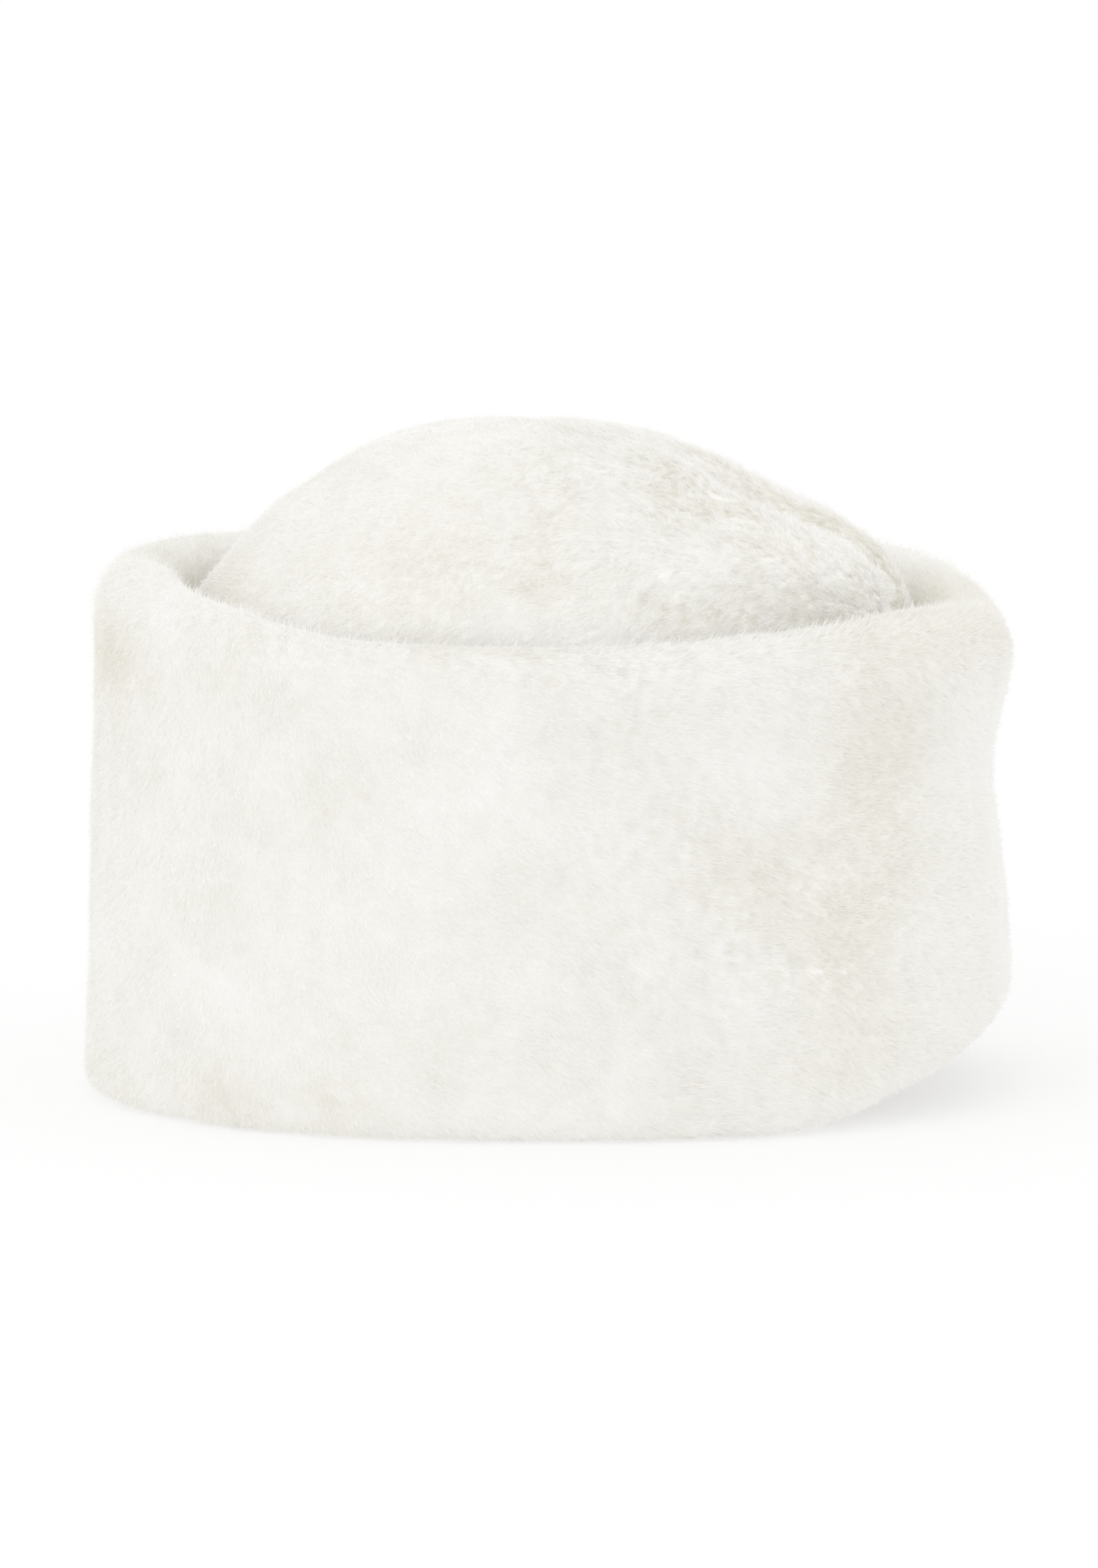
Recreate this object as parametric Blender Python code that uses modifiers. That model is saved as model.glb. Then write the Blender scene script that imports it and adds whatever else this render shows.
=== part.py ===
# Faux fur hat: a soft two-panel crown standing inside a tall padded cuff
# Metres, +Z up. The origin is on the surface the hat stands on, under the middle of its outline.
# +X is the hat's long way, and the front that shows best faces -Y. Bearings run from +X towards +Y.

import math
from collections import namedtuple

import bmesh
import bpy
import numpy as np

# Cuff: the padded band that is turned up round the hat and carries it
HAT_WIDTH = 0.256
HAT_DEPTH = 0.218
CUFF_HEIGHT = 0.139
CUFF_THICKNESS = 0.023
RIM_ROLL = 0.0155
FOOT_ROLL = 0.0090
CUFF_FOLD = 0.0075
SOLE_PRESS = 0.0010
RIM_SQUARENESS = 1.0
FOOT_SQUARENESS = 1.4
PLAN_SQUARENESS = 2.4

# Crown: two fur panels sewn along an arched seam, with a hem inside the cuff
CROWN_RISE = 0.0458
SHOULDER_DROP = 0.021
CROWN_WALL = 0.006
CROWN_FOLD = 0.006
HEM_HEIGHT = 0.005
PEAK_SHIFT = 0.011

# Seam between the crown's panels, a valley that the pile of both sides rolls into
SEAM_TURN = math.radians(-10)
SEAM_DEPTH = 0.0045
SEAM_SPREAD = 0.007
DENT_FADE = 4.0

# Clearances
SEAT_CLEARANCE = 0.0006
SEAM_GAP = 0.0003

# Facets
STATIONS = 72
ROLL_STEPS = 6
WALL_STEPS = 10
LINING_STEPS = 4
DOME_RINGS = 18
SKIRT_RINGS = 4

FUR_COLOUR = (0.87, 0.855, 0.80, 1.0)
FUR_ROUGHNESS = 0.95

# How the cuff's two edges run round the hat, as shares of CUFF_HEIGHT. The right end curls up.
Edge = namedtuple("Edge", "bearing lift sag")
CUFF_EDGES = (
    Edge(0, 0.184, 0.035),
    Edge(12, 0.164, 0.022),
    Edge(24, 0.122, -0.008),
    Edge(38, 0.060, -0.032),
    Edge(56, 0.000, -0.040),
    Edge(90, 0.000, -0.044),
    Edge(130, 0.000, -0.048),
    Edge(155, 0.000, -0.055),
    Edge(195, 0.000, -0.055),
    Edge(213, 0.000, -0.036),
    Edge(222, 0.000, -0.018),
    Edge(235, 0.000, 0.018),
    Edge(250, 0.000, 0.029),
    Edge(270, 0.000, 0.032),
    Edge(290, 0.000, 0.022),
    Edge(306, 0.006, 0.009),
    Edge(318, 0.052, -0.001),
    Edge(328, 0.094, -0.010),
    Edge(344, 0.154, 0.006),
    Edge(360, 0.184, 0.035),
)

# Soft dents, each deepest at a bearing and a share of the height, and fading over a turn in degrees and
# a tall in shares of the height. A negative depth swells.
Dent = namedtuple("Dent", "name bearing height turn tall depth")

# In the cuff's outer wall. Depth is a share of CUFF_FOLD.
CUFF_DENTS = (
    Dent("waist of the curled end", 0, 0.68, 30, 0.11, 1.00),
    Dent("hollow below the waist", 0, 0.44, 32, 0.14, 0.44),
    Dent("upper end of the front fold", 311, 0.78, 9, 0.13, 0.42),
    Dent("lower end of the front fold", 297, 0.50, 9, 0.12, 0.34),
    Dent("swell beside the fold", 328, 0.60, 8, 0.20, -0.10),
    Dent("dip above the left foot", 184, 0.24, 26, 0.05, 0.18),
    Dent("lean of the left end", 180, 0.84, 34, 0.16, 0.22),
    Dent("tuck in the left hem", 216, 0.06, 14, 0.05, 0.22),
)

# In the crown, where the height runs from its shoulder to its top. Depth is a share of CROWN_FOLD.
CROWN_DENTS = (
    Dent("dip under the seam", 317, 0.72, 15, 0.10, 0.80),
    Dent("slumped swell", 318, 0.47, 17, 0.09, -0.45),
    Dent("hollow above the rim", 318, 0.22, 22, 0.10, 0.75),
    Dent("middle valley", 268, 0.55, 7, 0.16, 0.30),
    Dent("left swell", 232, 0.34, 20, 0.16, -0.30),
)

# The crown's outline from its top down: reach is a share of its half width, rise of its dome and lean of
# PEAK_SHIFT.
Ring = namedtuple("Ring", "reach rise lean")
DOME_OUTLINE = (
    Ring(0.00, 1.000, 1.00),
    Ring(0.15, 0.988, 0.90),
    Ring(0.29, 0.957, 0.78),
    Ring(0.42, 0.898, 0.70),
    Ring(0.51, 0.832, 0.60),
    Ring(0.65, 0.705, 0.43),
    Ring(0.78, 0.575, 0.05),
    Ring(0.87, 0.430, 0.00),
    Ring(0.94, 0.286, 0.00),
    Ring(0.98, 0.130, 0.00),
    Ring(1.00, 0.000, 0.00),
)


def curve_through(knots, values, at):
    # A smooth curve through the values that stays between neighbours, so it is level at each high and low
    rates = np.diff(values) / np.diff(knots)
    before, after = rates[:-1], rates[1:]
    same_way = before * after > 0
    both = np.where(same_way, before + after, 1.0)
    middle = np.where(same_way, 2 * before * after / both, 0.0)
    slopes = np.concatenate((rates[:1], middle, rates[-1:]))
    i = min(max(int(np.searchsorted(knots, at, "right")) - 1, 0), len(knots) - 2)
    span = knots[i + 1] - knots[i]
    t = (at - knots[i]) / span
    start = values[i] * (1 + 2 * t) + slopes[i] * span * t
    end = values[i + 1] * (3 - 2 * t) - slopes[i + 1] * span * (1 - t)
    return start * (1 - t) ** 2 + end * t**2


def edge_at(bearing, column):
    # The rows go once round, so a row from each end is repeated beyond the other
    rows = [(edge.bearing, getattr(edge, column)) for edge in CUFF_EDGES]
    rows = [(rows[-2][0] - 360, rows[-2][1])] + rows + [(rows[1][0] + 360, rows[1][1])]
    knots, values = zip(*rows)
    return curve_through(knots, values, math.degrees(bearing) % 360)


def dent_depth(dents, bearing, height):
    depth = 0.0
    for dent in dents:
        turned = (math.degrees(bearing) - dent.bearing + 180) % 360 - 180
        off = (turned / dent.turn) ** 2 + ((height - dent.height) / dent.tall) ** 2
        depth += dent.depth * math.exp(-off / 2)
    return depth


def rolled(centre, roll, squareness):
    # Half a turn over one edge of the band, from the side it rises on. Below its centre a roll is negative.
    turned = []
    for turn in np.linspace(0, math.pi, ROLL_STEPS + 1):
        across = math.copysign(abs(math.cos(turn)) ** (1 / squareness), math.cos(turn) * roll)
        turned.append((across, centre + roll * math.sin(turn) ** (1 / squareness)))
    return turned


def cuff_section(bearing):
    # One closed section of the band as (distance in from the outside, height) pairs, from its inner foot
    half = CUFF_THICKNESS / 2
    foot = CUFF_HEIGHT * edge_at(bearing, "lift") - SOLE_PRESS
    crest = CUFF_HEIGHT * (1 - edge_at(bearing, "sag"))
    low, high = foot + FOOT_ROLL, crest - RIM_ROLL
    outer = [(1.0, z) for z in np.linspace(low, high, WALL_STEPS + 1)[1:-1]]
    inner = [(-1.0, z) for z in np.linspace(high, low, LINING_STEPS + 1)[1:-1]]
    path = rolled(low, -FOOT_ROLL, FOOT_SQUARENESS) + outer + rolled(high, RIM_ROLL, RIM_SQUARENESS) + inner
    section = []
    for across, height in path:
        dent = dent_depth(CUFF_DENTS, bearing, height / CUFF_HEIGHT) * (1 + across) / 2
        section.append((half * (1 - across) + CUFF_FOLD * dent, height))
    return section


def inside_outline(inset, bearing):
    # The point this far in from the hat's outside, which is an oval a little squarer than an ellipse
    across = math.cos(bearing) / (HAT_WIDTH / 2 - inset)
    along = math.sin(bearing) / (HAT_DEPTH / 2 - inset)
    reach = (abs(across) ** PLAN_SQUARENESS + abs(along) ** PLAN_SQUARENESS) ** (-1 / PLAN_SQUARENESS)
    return reach * math.cos(bearing), reach * math.sin(bearing)


def mesh_object(name, bm, collection):
    mesh = bpy.data.meshes.new(name)
    bmesh.ops.recalc_face_normals(bm, faces=bm.faces)
    bm.to_mesh(mesh)
    bm.free()
    mesh.shade_smooth()
    made = bpy.data.objects.new(name, mesh)
    collection.objects.link(made)
    return made


def fur_material(name):
    material = bpy.data.materials.new(name)
    material.use_nodes = True
    shader = material.node_tree.nodes["Principled BSDF"]
    shader.inputs["Base Color"].default_value = FUR_COLOUR
    shader.inputs["Roughness"].default_value = FUR_ROUGHNESS
    shader.inputs["Metallic"].default_value = 0.0
    return material


def block(name, size, centre, turn, cutters):
    bm = bmesh.new()
    bmesh.ops.create_cube(bm, size=1.0)
    bmesh.ops.scale(bm, vec=size, verts=bm.verts)
    bmesh.ops.translate(bm, vec=centre, verts=bm.verts)
    cutter = mesh_object(name, bm, cutters)
    cutter.rotation_euler.z = turn
    cutter.hide_render = True
    cutter.display_type = "WIRE"
    return cutter


def cut(piece, cutter):
    boolean = piece.modifiers.new("cut by " + cutter.name, "BOOLEAN")
    boolean.operation = "DIFFERENCE"
    boolean.object = cutter


def make_cuff(parts, cutters):
    # The band is a loft round the head through sections that change at every bearing
    bm = bmesh.new()
    loops = []
    for station in range(STATIONS):
        bearing = 2 * math.pi * station / STATIONS
        loop = [
            bm.verts.new((*inside_outline(inset, bearing), height))
            for inset, height in cuff_section(bearing)
        ]
        loops.append(loop)
    for near, far in zip(loops, loops[1:] + loops[:1]):
        for i, corner in enumerate(near):
            following = (i + 1) % len(near)
            bm.faces.new((corner, far[i], far[following], near[following]))
    cuff = mesh_object("cuff", bm, parts)
    cuff.data.materials.append(fur_material("cuff fur"))
    floor_size = (2 * HAT_WIDTH, 2 * HAT_DEPTH, CUFF_HEIGHT)
    floor = block("standing surface", floor_size, (0, 0, -CUFF_HEIGHT / 2), 0, cutters)
    cut(cuff, floor)
    return cuff


def crown_rings():
    # Each ring of the crown as a row of the outline and its way down the skirt, from the top to the hem
    places = range(len(DOME_OUTLINE))
    columns = list(zip(*DOME_OUTLINE))
    rings = []
    for place in np.linspace(0, places[-1], DOME_RINGS + 1):
        ring = Ring(*(curve_through(places, column, place) for column in columns))
        rings.append((ring, 0.0))
    for drop in np.linspace(0, 1, SKIRT_RINGS + 1)[1:]:
        rings.append((DOME_OUTLINE[-1], drop))
    return rings


def seam_offset(x, y):
    return y * math.cos(SEAM_TURN) - x * math.sin(SEAM_TURN)


def crown_fold(x, y, bearing, rise):
    # How deep the crown's outside lies below its plain form: its dents, and its valley along the seam
    rim_fade = min(1.0, DENT_FADE * rise)
    top_fade = min(1.0, DENT_FADE * (1 - rise))
    valley = SEAM_DEPTH * math.exp(-((seam_offset(x, y) / SEAM_SPREAD) ** 2))
    return rim_fade * (CROWN_FOLD * dent_depth(CROWN_DENTS, bearing, rise) + top_fade * valley)


def crown_surface():
    # The crown's outside: rings round a centre that leans along the seam, then its folds
    shoulder = CUFF_HEIGHT - SHOULDER_DROP
    dome = CROWN_RISE + SHOULDER_DROP
    bm = bmesh.new()
    rows = []
    depths = {}
    for ring, drop in crown_rings():
        lean = -PEAK_SHIFT * ring.lean
        row = []
        for station in range(STATIONS if ring.reach > 0 else 1):
            bearing = SEAM_TURN + 2 * math.pi * station / STATIONS
            across, along = inside_outline(CUFF_THICKNESS + SEAT_CLEARANCE, bearing)
            x = lean * math.cos(SEAM_TURN) + ring.reach * across
            y = lean * math.sin(SEAM_TURN) + ring.reach * along
            hem = CUFF_HEIGHT * edge_at(bearing, "lift") + HEM_HEIGHT
            height = shoulder + dome * ring.rise - drop * (shoulder - hem)
            vertex = bm.verts.new((x, y, height))
            depths[vertex] = crown_fold(x, y, bearing, ring.rise)
            row.append(vertex)
        rows.append(row)
    top = rows[0][0]
    for i, corner in enumerate(rows[1]):
        bm.faces.new((top, corner, rows[1][(i + 1) % STATIONS]))
    for upper, lower in zip(rows[1:], rows[2:]):
        for i in range(STATIONS):
            following = (i + 1) % STATIONS
            bm.faces.new((upper[i], lower[i], lower[following], upper[following]))
    bm.normal_update()
    moved = {vertex: vertex.normal * -depth for vertex, depth in depths.items()}
    for vertex, shift in moved.items():
        vertex.co += shift
    return bm


def make_crown(parts, cutters):
    # Both panels are cut from one dome, on either side of the seam
    reach = HAT_WIDTH + HAT_DEPTH
    tall = 2 * (CUFF_HEIGHT + CROWN_RISE)
    for name, side in (("crown_front_panel", 1), ("crown_back_panel", -1)):
        panel = mesh_object(name, crown_surface(), parts)
        panel.data.materials.append(fur_material(name.replace("_", " ") + " fur"))
        wall = panel.modifiers.new("fur wall", "SOLIDIFY")
        wall.thickness = CROWN_WALL
        wall.offset = -1.0
        wall.use_even_offset = True
        centre = (0, side * (reach - SEAM_GAP) / 2, 0)
        cutter = block("beyond " + name, (reach, reach, tall), centre, SEAM_TURN, cutters)
        cut(panel, cutter)


def centre_over_origin(cuff, collections):
    # The curled end reaches a little less far than the other, so all is moved along by half of that
    reached = [vertex.co.x for vertex in cuff.data.vertices]
    for collection in collections:
        for piece in collection.objects:
            piece.location.x -= (min(reached) + max(reached)) / 2


def new_collection(name):
    collection = bpy.data.collections.new(name)
    bpy.context.scene.collection.children.link(collection)
    return collection


def main():
    for old in list(bpy.data.objects):
        bpy.data.objects.remove(old)
    parts = new_collection("faux fur hat")
    cutters = new_collection("cutters")
    cutters.hide_render = True
    cuff = make_cuff(parts, cutters)
    make_crown(parts, cutters)
    centre_over_origin(cuff, (parts, cutters))


main()
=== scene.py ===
import math

import bmesh
import bpy
import numpy as np
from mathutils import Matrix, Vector
from mathutils.bvhtree import BVHTree
from mathutils.kdtree import KDTree


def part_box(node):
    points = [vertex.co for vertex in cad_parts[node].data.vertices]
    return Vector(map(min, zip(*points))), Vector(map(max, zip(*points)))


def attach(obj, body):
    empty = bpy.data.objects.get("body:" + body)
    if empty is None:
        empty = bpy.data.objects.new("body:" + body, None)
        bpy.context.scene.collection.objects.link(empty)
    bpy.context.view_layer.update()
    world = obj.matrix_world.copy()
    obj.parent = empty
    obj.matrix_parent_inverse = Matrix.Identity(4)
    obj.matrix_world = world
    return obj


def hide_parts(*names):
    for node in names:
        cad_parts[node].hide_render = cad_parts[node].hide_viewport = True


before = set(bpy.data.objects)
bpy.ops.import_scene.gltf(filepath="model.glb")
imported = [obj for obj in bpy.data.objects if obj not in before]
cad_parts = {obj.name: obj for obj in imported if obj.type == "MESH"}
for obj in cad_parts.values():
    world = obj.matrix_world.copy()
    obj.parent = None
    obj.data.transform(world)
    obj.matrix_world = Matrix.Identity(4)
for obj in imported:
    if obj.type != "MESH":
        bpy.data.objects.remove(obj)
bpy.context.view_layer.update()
print("stage: frame loaded,", ", ".join(sorted(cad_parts)))


# What the blades of every pile share. Lengths in metres, angles in degrees, unless a note says otherwise.
blades = {
    "leans": (0.30, 1.10),  # from short upright blades to long flat ones, as parts of the reach
    "tuftLeans": (0.85, 1.1),  # the same for the middle of a tuft
    "pullSpread": 0.18,  # how unevenly blades are drawn to their tuft
    "tuftFall": 0.00012,  # how much a tuft's surface falls one tuft size from its middle
    "tuftEnd": 1.5,  # it falls no further than this many tuft sizes away
    "shortDepth": 0.4,  # part of the depth that is left where a blade has no reach
    "depths": (0.9, 1.1),
    "widths": (0.75, 1.25),
    "lowestTip": 0.0003,  # above the floor
    "lowestRoot": 0.0010,
    "rimFrom": 0.130,  # height where the rim begins, and over what height it comes in
    "rimSpan": 0.006,
    "tone": 0.83,  # 0 is warm and 1 is cool
    "toneSwell": 0.045,  # slow changes of tone, and their length
    "toneSpan": 0.045,
    "toneSeed": 5,
    "toneEnds": (0.02, 0.98),
}

# How the pile of each piece is grown
cuffPile = {
    "blades": 680000,
    "area": 0.155,  # square metres that they cover
    "parts": {"front": (225, 315), "right": (315, 45), "back": (45, 135), "left": (135, 225)},
    "depth": 0.0012,  # how far the cloth lies under the pile's tips
    "reach": 0.0033,  # how far a blade leans along the nap
    # what part of the reach it has at each bearing
    "reachBy": (
        (0, 1.0),
        (110, 0.9),
        (165, 0.55),
        (215, 0.52),
        (250, 0.62),
        (275, 0.85),
        (300, 1.0),
        (360, 1.0),
    ),
    "bladeWidth": 0.00033,
    "roll": 16,  # how far blades turn about their own length
    "tuftSize": 0.0015,
    "tuftPull": 0.36,  # how strongly blades gather in tufts
    "tuftTurn": 13,
    "tuftLift": 0.00011,
    "bladeLift": 0.00008,
    "strays": 0.16,  # share of blades that stand up out of the pile
    "speckle": 0.05,  # how much tufts and blades differ in tone
    "strayLift": 0.0015,
    "rimFuzz": 0.9,  # how much more they stand up on the rim
    # where the pile stands in lumps: bearing, height, spread round the hat, spread up it, and how much
    "lumps": (
        (283, 0.085, 12, 0.030, 1.0),
        (296, 0.060, 10, 0.020, 0.6),
        (318, 0.100, 12, 0.030, 0.3),
        (276, 0.132, 20, 0.006, 1.8),
    ),
    "lumpRise": 0.00014,
    # painted light where the lumps rise and painted shade in their dips, this strong
    "lumpTone": 0.10,
    "lumpSpan": 0.0038,
    "lumpStretch": (1.0, 1.0, 0.45),  # under 1 makes them longer that way
    "napTurn": 9,  # slow wandering of the nap
    "napSpan": 0.045,
    # how far the nap falls from level at each bearing
    "napFall": (
        (0, 8),
        (60, 20),
        (120, 30),
        (160, 65),
        (185, 85),
        (215, 80),
        (240, 45),
        (262, 22),
        (300, 12),
        (360, 8),
    ),
    "rise": 0.00024,  # slow swells of the pile's surface
    "riseSpan": 0.021,
    # the inner wall is bare from here to the lower height, except where it turns over
    "innerTop": 0.139 - 0.042,
    "innerFoot": 0.014,
    "innerTurn": 0.7,
    # painted shade: where the fur is painted warmer and darker, in the notches, in the gaps by the rim, at
    # the folds of the right and left ends and under the curled foot, given as the lumps are
    "warmth": (
        (317, 0.105, 6, 0.024, 0.36),
        (299, 0.067, 6, 0.009, 0.25),
        (314, 0.055, 7, 0.022, 0.34),
        (310, 0.017, 6, 0.009, 0.25),
        (252, 0.133, 2, 0.004, 0.25),
        (218, 0.006, 14, 0.006, 0.32),
        (166, 0.127, 10, 0.009, 0.60),
        (8, 0.130, 14, 0.008, 0.55),
        (200, 0.122, 9, 0.006, 0.55),
        (336, 0.134, 12, 0.008, 0.45),
        (186, 0.085, 9, 0.040, 0.20),
        (199, 0.131, 7, 0.006, 0.25),
    ),
    # swells of the rim, in metres upward
    "swells": ((197, 0.139, 6, 0.0070, 0.0062),),
    # where its sides stand out a little further, in metres
    "flares": (
        (186, 0.026, 12, 0.012, 0.0018),
        (195, 0.006, 12, 0.006, 0.0030),
        (350, 0.108, 14, 0.014, 0.0016),
        (358, 0.070, 25, 0.050, 0.0012),
    ),
    "seed": 11,
}
crownPile = {
    "blades": 230000,
    "area": 0.050,
    "depth": 0.0012,
    "reach": 0.0033,
    "reachBy": (
        (0, 1.0),
        (110, 0.9),
        (165, 0.50),
        (235, 0.50),
        (268, 0.75),
        (300, 1.0),
        (360, 1.0),
    ),
    "bladeWidth": 0.00034,
    "roll": 16,
    "tuftSize": 0.0018,
    "tuftPull": 0.42,
    "tuftTurn": 15,
    "tuftLift": 0.00015,
    "bladeLift": 0.00009,
    "strays": 0.11,
    "speckle": 0.034,
    "strayLift": 0.0015,
    "rimFuzz": 0.0,
    "lumps": (
        (324, 0.168, 13, 0.008, 1.2),
        (332, 0.160, 10, 0.006, 1.0),
        (327, 0.152, 8, 0.006, 0.8),
        (12, 0.156, 16, 0.018, 1.2),
        (312, 0.139, 20, 0.006, 0.7),
    ),
    "lumpRise": 0.00075,
    # painted light where the lumps rise and painted shade in their dips, this strong
    "lumpTone": 0.30,
    "lumpSpan": 0.0048,
    "lumpStretch": (1.0, 1.0, 1.0),
    "napTurn": 9,
    "napSpan": 0.030,
    "napLeft": -132,  # its angle from the right, on the left of the crown and how much more on the right
    "napRight": -42,
    "napTop": -30,  # at the top it lies more along the seam
    "napFrom": 0.015,  # where the left ends, and how far on the right begins
    "napAcross": 0.065,
    "topFrom": 0.50,  # how level the crown is where the top begins, and how much more where it is full
    "topSpan": 0.4,
    "seamCross": 1.1,  # how strongly hair leans over the seam and closes it, and how near it
    "seamReach": 0.0022,
    "rise": 0.00030,
    "riseSpan": 0.017,
    "bareBelow": 0.104,  # the skirt inside the cuff stays bare cloth
    # painted shade, given as the lumps are: warmer, darker fur in the left notch, in the shallow valley and
    # recesses of the front and in the dips at the right; the negative one paints light on the shaded band
    # above the front rim
    "warmth": (
        (268, 0.156, 3, 0.010, 0.22),
        (277, 0.168, 2.5, 0.004, 0.25),
        (262, 0.131, 36, 0.005, -0.14),
        (240, 0.158, 16, 0.016, 0.22),
        (324, 0.168, 10, 0.007, 0.18),
        (328, 0.159, 9, 0.006, 0.25),
        (310, 0.138, 16, 0.006, 0.18),
        (205, 0.126, 10, 0.008, 0.80),
    ),
    # painted shading right of the peak: how much, how far behind the seam, and over what length; painted
    # shade in the valley along the seam, and painted light on the ridge before it
    "valleyWarmth": (0.50, 0.0035, 0.0055),
    "rollWarmth": (-0.26, -0.009, 0.004),
    "rollEnd": 0.09,
    # painted shade over the back panel behind the seam
    "backWarmth": 0.12,
    # where the painted seam shading begins right of the peak, and over what length
    "warmFrom": 0.045,
    "warmSpan": 0.02,
    # swells of the crown's shape, in metres outward
    "swells": (
        (254, 0.132, 30, 0.0065, 0.0046),
        (352, 0.146, 10, 0.0080, 0.0035),
        (316, 0.138, 17, 0.0050, 0.0006),
        (316, 0.151, 16, 0.0060, 0.0020),
        (322, 0.165, 9, 0.0050, -0.0022),
        (338, 0.154, 6, 0.0040, -0.0016),
    ),
    "heartHeight": 0.03,  # the crown swells away from this height on its middle
    "clearance": 0.0002,  # between the tips of the crown's pile and the cuff's
    # the valley along the seam, deeper than the CAD's on the right of the peak, and the rolls beside it
    "seamCarve": 0.0024,
    "seamSpread": 0.0030,
    "seamRoll": (-0.0010, 0.0006),  # before and behind it
    "seamAside": 0.0075,
    "rollSpread": 0.005,
    "peakEnd": 0.020,  # where the valley starts to deepen, and over what length
    "peakSpan": 0.03,
    "seamHem": 0.0012,  # how near the seam the panels' edges are drawn together, and by how much
    "seamDraw": 0.00018,
    "seed": 23,
}
seamTurn = math.radians(-10)  # the seam's plane, as in the CAD
seamCut = {"level": 0.75, "near": 0.0006}  # how squarely a face of the cut lies in that plane, and how near
# how the CAD's triangles become quads: points nearer than this are one, and slivers shorter than this go
weld = {"near": 2e-5, "sliver": 1e-6, "faceAngle": 40, "shapeAngle": 60}


class Wire:
    # one socket of a shader, so that shader maths can be written as Python expressions
    def __init__(self, shader, socket):
        self.shader = shader
        self.socket = socket

    def maths(self, operation, first, second):
        return self.shader.add("ShaderNodeMath", {"operation": operation}, {0: first, 1: second})

    def __add__(self, other):
        return self.maths("ADD", self, other)

    def __radd__(self, other):
        return self.maths("ADD", other, self)

    def __mul__(self, other):
        return self.maths("MULTIPLY", self, other)

    def __rmul__(self, other):
        return self.maths("MULTIPLY", other, self)

    def __pow__(self, other):
        return self.maths("POWER", self, other)

    def output(self, number):
        # another output of the same node
        return Wire(self.shader, self.socket.node.outputs[number])


class Finish:
    # a material with its Principled shader, and one way to add any other node
    def __init__(self, name, constants):
        self.material = bpy.data.materials.new(name)
        self.material.use_nodes = True
        self.tree = self.material.node_tree
        self.surface = self.tree.nodes["Principled BSDF"]
        for socket, value in constants.items():
            self.surface.inputs[socket].default_value = value

    def add(self, kind, settings=None, sockets=None, output=0):
        node = self.tree.nodes.new(kind)
        for setting, value in (settings or {}).items():
            setattr(node, setting, value)
        for socket, value in (sockets or {}).items():
            self.join(node.inputs[socket], value)
        return Wire(self, node.outputs[output])

    def join(self, socket, value):
        if isinstance(value, Wire):
            self.tree.links.new(value.socket, socket)
        else:
            socket.default_value = value

    def mix(self, share, first, second):
        return self.add("ShaderNodeMix", {"data_type": "RGBA"}, {0: share, 6: first, 7: second}, output=2)

    def noise(self, place, scale, detail=2.0, roughness=0.5):
        sockets = {"Vector": place, "Scale": scale, "Detail": detail, "Roughness": roughness}
        return self.add("ShaderNodeTexNoise", {"noise_dimensions": "3D"}, sockets)

    def letThrough(self, share, colour):
        # light passes through to the far side of thin hair
        through = self.add("ShaderNodeBsdfTranslucent", {}, {"Color": colour})
        straight = Wire(self, self.surface.outputs[0])
        both = self.add("ShaderNodeMixShader", {}, {0: share, 1: straight, 2: through})
        self.join(self.tree.nodes["Material Output"].inputs["Surface"], both)

    def finish(self, sockets):
        for socket, value in sockets.items():
            self.join(self.surface.inputs[socket], value)
        return self.material


def grey(level):
    return (level, level, level, 1.0)


def pileFinish(name, colours):
    # u of the pile's own map is a blade's tone, painted shade and light included, and v runs from its root
    # to its tip
    sheen = {"Sheen Weight": 0.12, "Sheen Roughness": 0.6}
    shader = Finish(name, {"Roughness": 0.92, "Specular IOR Level": 0.20, **sheen})
    place = shader.add("ShaderNodeUVMap", {"uv_map": "OFBake"})
    tone = shader.add("ShaderNodeSeparateXYZ", {}, {0: place})
    along = tone.output(1)
    rootColour = shader.mix(tone, colours["rootWarm"], colours["rootCool"])
    tipColour = shader.mix(tone, colours["tipWarm"], colours["tipCool"])
    colour = shader.mix(along ** 0.6, rootColour, tipColour)
    shader.letThrough(colours["letThrough"], colour)
    return shader.finish({"Base Color": colour})


def clothFinish(name, colours):
    # the close roots of the pile, seen only where the blades part
    sheen = {"Sheen Weight": 0.10, "Sheen Roughness": 0.6}
    shader = Finish(name, {"Roughness": 0.95, "Specular IOR Level": 0.15, **sheen})
    place = shader.add("ShaderNodeTexCoord", {}, {}, output="Object")
    patches = shader.noise(place, 38.0, 3.0)
    fibres = shader.noise(place, 1500.0, 3.0, 0.7)
    colour = shader.mix(patches, colours["rootWarm"], colours["rootCool"])
    colour = shader.mix(fibres * 0.25, colour, colours["tipCool"])
    height = fibres * 0.7 + patches * 0.3
    normal = shader.add("ShaderNodeBump", {}, {"Strength": 0.6, "Distance": 0.0006, "Height": height})
    return shader.finish({"Base Color": colour, "Normal": normal})


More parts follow.
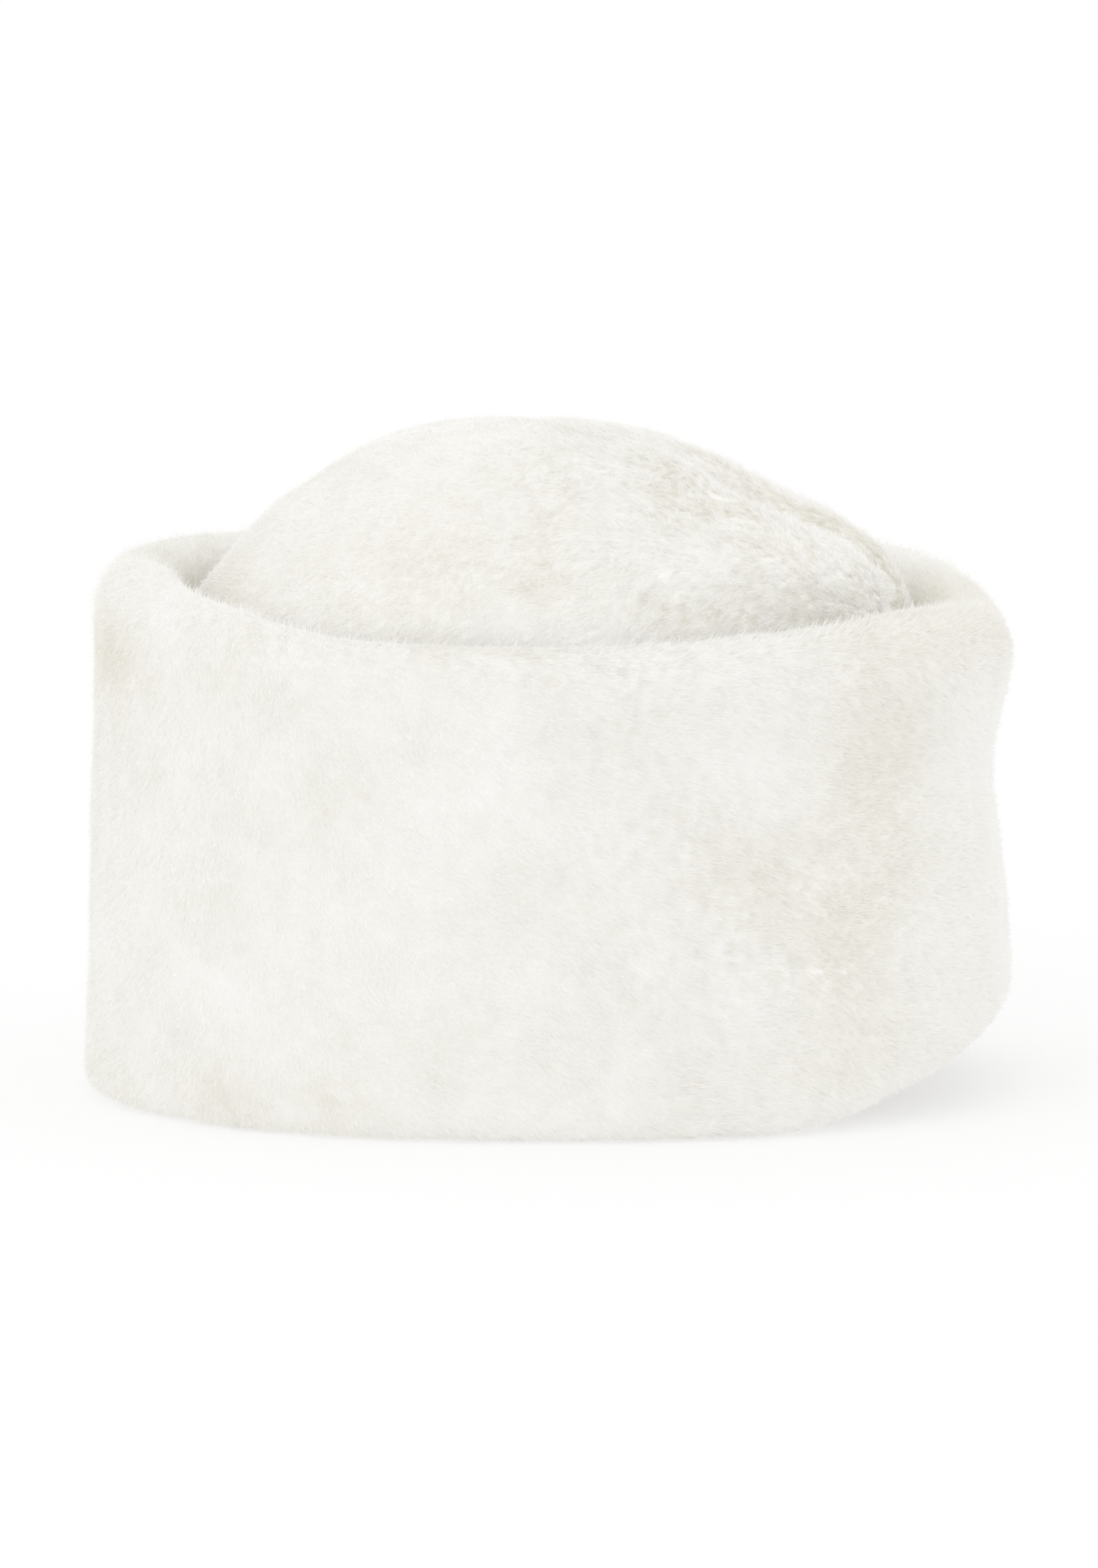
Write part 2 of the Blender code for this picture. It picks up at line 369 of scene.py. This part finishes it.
def backingFinish(name, colours):
    # the knitted back of fur cloth: fine ribs crossed by rows of stitches
    shader = Finish(name, {"Roughness": 0.90, "Specular IOR Level": 0.2})
    place = shader.add("ShaderNodeTexCoord", {}, {}, output="Object")
    ribs = shader.add(
        "ShaderNodeTexWave",
        {"wave_type": "BANDS", "bands_direction": "X"},
        {"Vector": place, "Scale": 190.0, "Distortion": 1.2, "Detail": 2.0, "Detail Scale": 3.0},
        output=1,
    )
    rows = shader.add(
        "ShaderNodeTexWave",
        {"wave_type": "BANDS", "bands_direction": "Z"},
        {"Vector": place, "Scale": 240.0, "Distortion": 1.0, "Detail": 2.0, "Detail Scale": 3.0},
        output=1,
    )
    knit = ribs * 0.6 + rows * 0.4
    wear = shader.noise(place, 55.0, 3.0)
    colour = shader.mix(knit * 0.5 + wear * 0.5, colours["rootWarm"], colours["rootCool"])
    normal = shader.add("ShaderNodeBump", {}, {"Strength": 0.8, "Distance": 0.0005, "Height": knit})
    return shader.finish({"Base Color": colour, "Normal": normal})


furColours = {
    "letThrough": 0.46,
    "rootWarm": (0.900, 0.882, 0.830, 1.0),
    "rootCool": (0.972, 0.970, 0.963, 1.0),
    "tipWarm": (0.938, 0.927, 0.893, 1.0),
    "tipCool": (0.987, 0.9865, 0.983, 1.0),
}
backingColours = {
    "rootWarm": (0.640, 0.600, 0.520, 1.0),
    "rootCool": (0.780, 0.750, 0.690, 1.0),
}


def unit(vectors):
    return vectors / np.maximum(np.linalg.norm(vectors, axis=1, keepdims=True), 1e-12)


def swell(points, span, seed, waves=28):
    # a smooth random field of unit size, made of waves about this long
    draw = np.random.default_rng(seed)
    ways = unit(draw.normal(size=(waves, 3)))
    pace = 2 * np.pi / span * draw.uniform(0.65, 1.5, waves)
    start = draw.uniform(0, 2 * np.pi, waves)
    return math.sqrt(2 / waves) * np.cos(points @ (ways * pace[:, None]).T + start).sum(1)


def smoothCopy(node, isCut=None):
    # a CAD node's mesh, welded, back in quads and one step finer; a flat cut is taken out and filled again
    bm = bmesh.new()
    bm.from_mesh(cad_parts[node].data)
    bmesh.ops.remove_doubles(bm, verts=bm.verts, dist=weld["near"])
    bmesh.ops.dissolve_degenerate(bm, edges=bm.edges, dist=weld["sliver"])
    if isCut:
        middles = np.array([face.calc_center_median() for face in bm.faces])
        normals = np.array([face.normal for face in bm.faces])
        cut = [face for face, inCut in zip(list(bm.faces), isCut(middles, normals)) if inCut]
        bmesh.ops.delete(bm, geom=cut, context="FACES")
    bmesh.ops.join_triangles(
        bm,
        faces=bm.faces,
        angle_face_threshold=math.radians(weld["faceAngle"]),
        angle_shape_threshold=math.radians(weld["shapeAngle"]),
    )
    mesh = bpy.data.meshes.new(node + "Smooth")
    bm.to_mesh(mesh)
    holder = bpy.data.objects.new(node + "Smooth", mesh)
    bpy.context.scene.collection.objects.link(holder)
    finer = holder.modifiers.new("finer", "SUBSURF")
    finer.levels = finer.render_levels = 1
    bpy.context.view_layer.update()
    bm.clear()
    bm.from_object(holder, bpy.context.evaluated_depsgraph_get())
    bpy.data.objects.remove(holder)
    rim = [edge for edge in bm.edges if edge.is_boundary]
    if rim:
        made = bmesh.ops.holes_fill(bm, edges=rim, sides=0)["faces"]
        bmesh.ops.triangulate(bm, faces=made)
    bmesh.ops.recalc_face_normals(bm, faces=bm.faces)
    bm.to_mesh(mesh)
    bm.free()
    return mesh


class Shape:
    # a smooth mesh as arrays, with the faces that carry pile marked
    def __init__(self, mesh, isOutside, isCut):
        self.mesh = mesh
        mesh.calc_loop_triangles()
        self.points = np.empty(len(mesh.vertices) * 3)
        mesh.vertices.foreach_get("co", self.points)
        self.points = self.points.reshape(-1, 3)
        triangles = np.empty(len(mesh.loop_triangles) * 3, np.int32)
        mesh.loop_triangles.foreach_get("vertices", triangles)
        polygons = np.empty(len(mesh.loop_triangles), np.int32)
        mesh.loop_triangles.foreach_get("polygon_index", polygons)
        self.triangles = triangles.reshape(-1, 3)
        corners = self.points[self.triangles]
        crossed = np.cross(corners[:, 1] - corners[:, 0], corners[:, 2] - corners[:, 0])
        self.outside = isOutside(corners.mean(1), unit(crossed))
        self.outsidePolygons = np.unique(polygons[self.outside])
        self.cutPolygons = np.unique(polygons[isCut(corners.mean(1), unit(crossed))])
        self.normals = np.zeros_like(self.points)
        for i in range(3):
            np.add.at(self.normals, self.triangles[self.outside, i], crossed[self.outside])
        self.isOutsidePoint = np.linalg.norm(self.normals, axis=1) > 0
        self.normals = unit(self.normals)
        self.inward = -self.normals  # the way in from the pile's tips to the cloth

    def move(self, ways, distance):
        # moves the outside alone, each point by its own way and distance
        self.points += ways * (distance * self.isOutsidePoint)[:, None]


def joined(shapes):
    # several shapes' outsides as one surface
    points, normals, triangles, count = [], [], [], 0
    for shape in shapes:
        points.append(shape.points)
        normals.append(shape.normals)
        triangles.append(shape.triangles[shape.outside] + count)
        count += len(shape.points)
    return np.concatenate(points), np.concatenate(normals), np.concatenate(triangles)


def distances(surface, places):
    # how far each place is from a surface
    points, _, triangles = surface
    tree = BVHTree.FromPolygons(points.tolist(), triangles.tolist())
    return np.array([tree.find_nearest(Vector(place))[3] for place in places.tolist()])


def scatter(surface, count, draw, weight):
    # random points on a surface with their smooth normals, evenly by weighted area
    points, normals, triangles = surface
    corners = points[triangles]
    area = np.linalg.norm(np.cross(corners[:, 1] - corners[:, 0], corners[:, 2] - corners[:, 0]), axis=1) / 2
    area *= weight(corners.mean(1), normals[triangles].mean(1))
    chosen = draw.choice(len(triangles), count, p=area / area.sum())
    a, b = draw.random(count), draw.random(count)
    over = a + b > 1
    a[over], b[over] = 1 - a[over], 1 - b[over]
    shares = np.stack((1 - a - b, a, b), 1)[:, :, None]
    return (corners[chosen] * shares).sum(1), unit((normals[triangles[chosen]] * shares).sum(1))


def turned(vectors, axes, angles):
    angles = angles[:, None]
    return vectors * np.cos(angles) + np.cross(axes, vectors) * np.sin(angles)


def flattened(vectors, normals):
    return unit(vectors - normals * (vectors * normals).sum(1, keepdims=True))


def growPile(name, surface, roots, normals, napOf, toneOf, pile, finish, seed):
    # one mesh of one-triangle blades that lie along the nap and gather in small tufts
    draw = np.random.default_rng(seed)
    count = len(roots)
    nap = napOf(roots, normals, pile)
    # tufts
    perTuft = pile["blades"] * pile["tuftSize"] ** 2 / pile["area"]
    tuftCount = int(count / perTuft)
    chosen = draw.choice(count, tuftCount, replace=False)
    tree = KDTree(tuftCount)
    for i, point in enumerate(roots[chosen]):
        tree.insert(point, i)
    tree.balance()
    tuft = np.array([tree.find(point)[1] for point in roots])
    turn = np.radians(pile["tuftTurn"])
    tuftNap = turned(nap[chosen], normals[chosen], turn * draw.normal(size=tuftCount))
    longness = np.interp(bearingsOf(roots), *zip(*pile["reachBy"]))
    reach = pile["reach"] * longness
    tuftReach = reach[chosen] * draw.uniform(*blades["tuftLeans"], tuftCount)
    tuftTip = roots[chosen] + tuftNap * tuftReach[:, None]
    tuftLift = pile["tuftLift"] * draw.normal(size=tuftCount)
    tuftTone = draw.normal(size=tuftCount)
    # where each blade leans to
    ownNap = turned(nap, normals, turn * draw.normal(size=count))
    share = draw.uniform(*blades["leans"], count)[:, None]
    ownTip = roots + ownNap * reach[:, None] * share
    pull = np.clip(pile["tuftPull"] + blades["pullSpread"] * draw.normal(size=count), 0.0, 0.95)
    pull = share * pull[:, None]
    aim = ownTip * (1 - pull) + tuftTip[tuft] * pull
    # how high its tip stands over the surface
    away = np.linalg.norm(roots - roots[chosen][tuft], axis=1) / pile["tuftSize"]
    lift = tuftLift[tuft] - blades["tuftFall"] * np.minimum(away, blades["tuftEnd"]) ** 2
    lift += pile["bladeLift"] * draw.normal(size=count)
    lift *= longness
    lift += pile["rise"] * swell(roots, pile["riseSpan"], pile["seed"])
    lump = patchesAt(roots, pile["lumps"])
    lump *= swell(roots * pile["lumpStretch"], pile["lumpSpan"], pile["seed"] + 2)
    lift += pile["lumpRise"] * lump
    stray = draw.random(count) < pile["strays"]
    onRim = np.clip((roots[:, 2] - blades["rimFrom"]) / blades["rimSpan"], 0, 1)
    lift += stray * pile["strayLift"] * (1 + pile["rimFuzz"] * onRim) * draw.random(count)
    points, pointNormals, triangles = surface
    carrier = BVHTree.FromPolygons(points.tolist(), triangles.tolist())
    met = [carrier.find_nearest(Vector(point)) for point in aim.tolist()]
    feet = np.array([hit[0] for hit in met])
    faces = np.array([hit[2] for hit in met])
    faceNormals = unit(pointNormals[triangles[faces]].mean(1))
    tips = feet + faceNormals * lift[:, None]
    # its root and its two sides
    depth = pile["depth"] * (blades["shortDepth"] + (1 - blades["shortDepth"]) * longness)
    bases = roots - normals * (depth * draw.uniform(*blades["depths"], count))[:, None]
    tips[:, 2] = np.maximum(tips[:, 2], blades["lowestTip"])
    bases[:, 2] = np.maximum(bases[:, 2], blades["lowestRoot"])
    blade = tips - bases
    side = unit(np.cross(blade, normals))
    side = turned(side, unit(blade), np.radians(pile["roll"]) * draw.normal(size=count))
    half = side * (pile["bladeWidth"] / 2 * draw.uniform(*blades["widths"], count))[:, None]
    corners = np.stack((bases - half, bases + half, tips), 1)
    # painted light on the lumps' rises and painted shade in their dips, on top of the tone and painted shade
    # of the patches
    tone = toneOf(roots, pile) + pile["lumpTone"] * lump
    tone += pile["speckle"] * (tuftTone[tuft] + draw.normal(size=count))
    piece = makeBlades(name, corners, np.clip(tone, *blades["toneEnds"]), finish)
    print(f"stage: {name}, {count} blades in {tuftCount} tufts")
    return piece


def makeBlades(name, corners, tone, finish):
    # the triangles as a mesh, with the map that its material reads
    count = len(corners)
    mesh = bpy.data.meshes.new(name)
    mesh.vertices.add(count * 3)
    mesh.vertices.foreach_set("co", corners.astype(np.float32).ravel())
    mesh.loops.add(count * 3)
    mesh.loops.foreach_set("vertex_index", np.arange(count * 3, dtype=np.int32))
    mesh.polygons.add(count)
    mesh.polygons.foreach_set("loop_start", np.arange(0, count * 3, 3, dtype=np.int32))
    mesh.update(calc_edges=True)
    layer = mesh.uv_layers.new(name="OFBake")
    places = np.empty((count, 3, 2), np.float32)
    places[:, 0, 0], places[:, 1, 0], places[:, 2, 0] = tone - 0.006, tone + 0.006, tone  # never a line
    places[:, :2, 1], places[:, 2, 1] = 0.03, 0.97
    layer.data.foreach_set("uv", places.ravel())
    mesh.materials.append(finish)
    piece = bpy.data.objects.new(name, mesh)
    bpy.context.scene.collection.objects.link(piece)
    return piece


def makeSkin(name, shape, depth, finishes):
    # the cloth that the pile stands on: the CAD shape, drawn in by the pile's depth where it carries pile
    mesh = shape.mesh
    moved = shape.points + shape.inward * depth * shape.isOutsidePoint[:, None]
    mesh.vertices.foreach_set("co", moved.ravel())
    mesh.materials.clear()
    for finish in finishes:
        mesh.materials.append(finish)
    index = np.full(len(mesh.polygons), len(finishes) - 1, np.int32)
    index[shape.outsidePolygons] = 0
    index[shape.cutPolygons] = 0
    mesh.polygons.foreach_set("material_index", index)
    mesh.shade_smooth()
    mesh.update()
    mesh.name = name
    piece = bpy.data.objects.new(name, mesh)
    bpy.context.scene.collection.objects.link(piece)
    print(f"stage: {name}, {len(mesh.polygons)} faces")
    return piece


def bearingsOf(points):
    return np.degrees(np.arctan2(points[:, 1], points[:, 0])) % 360


def patchesAt(points, patches):
    # soft patches on the hat, each given by its bearing, height, two spreads and strength
    bearing, total = bearingsOf(points), np.zeros(len(points))
    for centre, height, turn, tall, strength in patches:
        off = ((bearing - centre + 180) % 360 - 180) / turn
        total += strength * np.exp(-(off**2 + ((points[:, 2] - height) / tall) ** 2) / 2)
    return total


# The cuff: every face of the band is outside
cuffShape = Shape(
    smoothCopy("cuff"),
    lambda middles, normals: np.ones(len(middles), bool),
    lambda middles, normals: np.zeros(len(middles), bool),
)
upward = np.array(((0.0, 0.0, 1.0),))
cuffShape.move(upward, patchesAt(cuffShape.points, cuffPile["swells"]))
sideways = unit(cuffShape.points * (1.0, 1.0, 0.0))
outer = (cuffShape.normals * sideways).sum(1) > 0
cuffShape.move(sideways, patchesAt(cuffShape.points, cuffPile["flares"]) * outer)
cuffSurface = joined([cuffShape])

# The crown: the faces that look away from its inside, and not the cut along the seam
seamNormal = np.array((-math.sin(seamTurn), math.cos(seamTurn), 0.0))
low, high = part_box("crown_front_panel")
crownHeart = np.array(((low[0] + high[0]) / 2, 0.0, crownPile["heartHeight"]))


def isSeamCut(middles, normals):
    level = np.abs(normals @ seamNormal) > seamCut["level"]
    return level & (np.abs(middles @ seamNormal) < seamCut["near"])


def isCrownOutside(middles, normals):
    looksOut = (normals * (middles - crownHeart)).sum(1) > 0
    return looksOut & ~isSeamCut(middles, normals)


frontShape = Shape(smoothCopy("crown_front_panel", isSeamCut), isCrownOutside, isSeamCut)
backShape = Shape(smoothCopy("crown_back_panel", isSeamCut), isCrownOutside, isSeamCut)
for shape in (frontShape, backShape):
    fromSeam = np.abs(shape.points @ seamNormal)
    rightOfPeak = np.clip((shape.points[:, 0] - crownPile["peakEnd"]) / crownPile["peakSpan"], 0, 1)
    roll = crownPile["seamRoll"][0 if shape is frontShape else 1]
    valley = roll * np.exp(-(((fromSeam - crownPile["seamAside"]) / crownPile["rollSpread"]) ** 2))
    valley -= crownPile["seamCarve"] * np.exp(-((fromSeam / crownPile["seamSpread"]) ** 2))
    outward = unit(shape.points - crownHeart)  # the same way for both panels, so that the seam stays shut
    room = distances(cuffSurface, shape.points) - crownPile["clearance"]
    wanted = patchesAt(shape.points, crownPile["swells"]) + valley * rightOfPeak
    shape.move(outward, np.minimum(wanted, np.maximum(room, 0)))
    # the two edges come closer at the seam and the cloth goes straight in there
    byCut = np.exp(-((fromSeam / crownPile["seamHem"]) ** 2))
    towardSeam = -np.sign(shape.points @ seamNormal)[:, None] * seamNormal
    shape.move(towardSeam, crownPile["seamDraw"] * byCut)
    aslant = (shape.inward @ seamNormal) * byCut
    shape.inward = unit(shape.inward - seamNormal * aslant[:, None])
crownSurface = joined([frontShape, backShape])
print("stage: shapes read")


def cuffNap(points, normals, pile):
    # round the hat from left to right across the front, and a little down
    bearing = np.radians(bearingsOf(points))
    around = np.stack((-np.sin(bearing), np.cos(bearing), np.zeros(len(points))), 1)
    fall = np.interp(bearingsOf(points), *zip(*pile["napFall"]))
    tilt = np.radians(fall + pile["napTurn"] * swell(points, pile["napSpan"], pile["seed"] + 1))
    down = np.cross(around, normals)  # over the rim from the inside and down the outside
    return flattened(around * np.cos(tilt)[:, None] + down * np.sin(tilt)[:, None], normals)


def crownNap(points, normals, pile):
    # down to the left over most of the crown, and more to the left near its right end
    across = np.clip((points[:, 0] - pile["napFrom"]) / pile["napAcross"], 0, 1)
    across = across * across * (3 - 2 * across)
    top = np.clip((normals[:, 2] - pile["topFrom"]) / pile["topSpan"], 0, 1)
    fall = pile["napLeft"] + pile["napRight"] * across + pile["napTop"] * top * (1 - across)
    tilt = np.radians(fall + pile["napTurn"] * swell(points, pile["napSpan"], pile["seed"] + 1))
    right = np.stack((np.ones(len(points)), np.zeros(len(points)), np.zeros(len(points))), 1)
    right = flattened(right, normals)
    uphill = unit(np.cross(normals, right))
    uphill *= np.where(uphill[:, 2] >= 0, 1.0, -1.0)[:, None]
    nap = right * np.cos(tilt)[:, None] + uphill * np.sin(tilt)[:, None]
    behind = points @ seamNormal
    over = pile["seamCross"] * np.exp(-((behind / pile["seamReach"]) ** 2)) * np.sign(behind)
    return flattened(nap - seamNormal * over[:, None], normals)


def furToneAndPaintedShade(points, pile):
    wander = blades["toneSwell"] * swell(points, blades["toneSpan"], blades["toneSeed"])
    # the slow wander is the fur's own tone; the patches are painted shade, and painted light where negative
    return blades["tone"] + wander - patchesAt(points, pile["warmth"])


def crownToneAndPaintedShading(points, pile):
    # painted shade in the valley along the seam and behind it, and painted light on the ridge before it,
    # right of the peak
    behind = points @ seamNormal
    right = np.clip((points[:, 0] - pile["warmFrom"]) / pile["warmSpan"], 0, 1)
    much, place, span = pile["valleyWarmth"]
    valley = much * np.exp(-(((behind - place) / span) ** 2)) + pile["backWarmth"] * (behind > 0)
    # a negative amount: painted light on the ridge before the seam
    much, place, span = pile["rollWarmth"]
    roll = much * np.exp(-(((behind - place) / span) ** 2)) * (points[:, 0] < pile["rollEnd"])
    return furToneAndPaintedShade(points, pile) - right * (valley + roll)


def cuffWeight(middles, normals):
    # full on what shows, none deep inside the band
    outward = (normals[:, :2] * middles[:, :2]).sum(1) > 0
    deep = (middles[:, 2] < cuffPile["innerTop"]) & (middles[:, 2] > cuffPile["innerFoot"])
    upright = np.abs(normals[:, 2]) < cuffPile["innerTurn"]
    return np.where(~outward & deep & upright, 0.0, 1.0)


def crownWeight(middles, normals):
    return (middles[:, 2] > crownPile["bareBelow"]) * 1.0


pileMaterial = pileFinish("fur pile", furColours)
clothMaterial = clothFinish("fur roots", furColours)
backingMaterial = backingFinish("knitted backing", backingColours)

cuffDraw = np.random.default_rng(cuffPile["seed"])
roots, normals = scatter(cuffSurface, cuffPile["blades"], cuffDraw, cuffWeight)
bearing = bearingsOf(roots)
for part, (start, end) in cuffPile["parts"].items():
    within = (bearing >= start) & (bearing < end) if start < end else (bearing >= start) | (bearing < end)
    piece = growPile(
        "cuff_fur_" + part, cuffSurface, roots[within], normals[within], cuffNap, furToneAndPaintedShade, cuffPile,
        pileMaterial, cuffPile["seed"] + start
    )
    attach(piece, "root")

crownDraw = np.random.default_rng(crownPile["seed"])
for shape, name in ((frontShape, "front"), (backShape, "back")):
    roots, normals = scatter(joined([shape]), crownPile["blades"] // 2, crownDraw, crownWeight)
    piece = growPile(
        "crown_fur_" + name, crownSurface, roots, normals, crownNap, crownToneAndPaintedShading, crownPile,
        pileMaterial, crownPile["seed"] + len(name)
    )
    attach(piece, "root")

cuffSkin = makeSkin("cuff_band", cuffShape, cuffPile["depth"], [clothMaterial])
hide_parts("cuff")
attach(cuffSkin, "root")
for shape, name in ((frontShape, "crown_front_panel"), (backShape, "crown_back_panel")):
    skin = makeSkin(name + "_cloth", shape, crownPile["depth"], [clothMaterial, backingMaterial])
    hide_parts(name)
    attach(skin, "root")


# Floor, light and camera
studio = {
    "floorSize": 16.0,
    "floorGrey": 0.42,
    "floorGlow": 0.5572,
    "skyLevel": 0.98,
    # soft suns: where each comes from, how bright it is and how wide it looks in degrees
    "key": ((-0.8, -1.8, 1.5), 0.26, 40),
    "top": ((-0.2, 0.9, 2.0), 0.07, 50),
    "right": ((2.0, -0.1, 0.9), 0.12, 40),
}
view = {
    "aim": (0.0, 0.0, 0.0925),
    "down": 8.1,  # degrees
    "distance": 3.0,
    "frameHeight": 0.4346,  # what the photograph's height covers at the aim
    "drop": 0.0096,  # the aim lies this much above the picture's middle
}


def makeFloor():
    mesh = bpy.data.meshes.new("floor")
    reach = studio["floorSize"] / 2
    corners = [(-reach, -reach, 0), (reach, -reach, 0), (reach, reach, 0), (-reach, reach, 0)]
    mesh.from_pydata(corners, [], [(0, 1, 2, 3)])
    floor = bpy.data.objects.new("floor", mesh)
    bpy.context.scene.collection.objects.link(floor)
    shader = Finish("pale floor", {
        "Roughness": 1.0,
        "Specular IOR Level": 0.0,
        "Base Color": grey(studio["floorGrey"]),
        "Emission Color": grey(1.0),
        "Emission Strength": studio["floorGlow"],
    })
    mesh.materials.append(shader.material)


def makeLight(name, source, level, width):
    lamp = bpy.data.lights.new(name, "SUN")
    lamp.energy = level
    lamp.angle = math.radians(width)
    light = bpy.data.objects.new(name, lamp)
    light.location = source
    light.rotation_euler = (-Vector(source)).to_track_quat("-Z", "Y").to_euler()
    bpy.context.scene.collection.objects.link(light)


def makeSky():
    sky = bpy.data.worlds.new("studio")
    sky.use_nodes = True
    background = sky.node_tree.nodes["Background"]
    background.inputs["Color"].default_value = grey(1.0)
    background.inputs["Strength"].default_value = studio["skyLevel"]
    bpy.context.scene.world = sky


def makeCamera():
    lens = bpy.data.cameras.new("camera")
    camera = bpy.data.objects.new("camera", lens)
    bpy.context.scene.collection.objects.link(camera)
    down = math.radians(view["down"])
    ahead = Vector((0, math.cos(down), -math.sin(down)))
    upward = Vector((0, math.sin(down), math.cos(down)))
    camera.location = Vector(view["aim"]) - ahead * view["distance"] - upward * view["drop"]
    camera.rotation_euler = ahead.to_track_quat("-Z", "Y").to_euler()
    lens.sensor_width = 36.0
    lens.lens = lens.sensor_width * view["distance"] / view["frameHeight"]
    lens.clip_start, lens.clip_end = 0.05, 60.0
    bpy.context.scene.camera = camera


makeFloor()
makeSky()
for name in ("key", "top", "right"):
    makeLight(name, *studio[name])
makeCamera()
bpy.context.scene.view_settings.view_transform = "Standard"
bpy.context.scene.view_settings.look = "None"
bpy.context.scene.cycles.max_bounces = 16  # light in white fur bounces many times
bpy.context.scene.cycles.diffuse_bounces = 14
print("stage: floor, light and camera set")
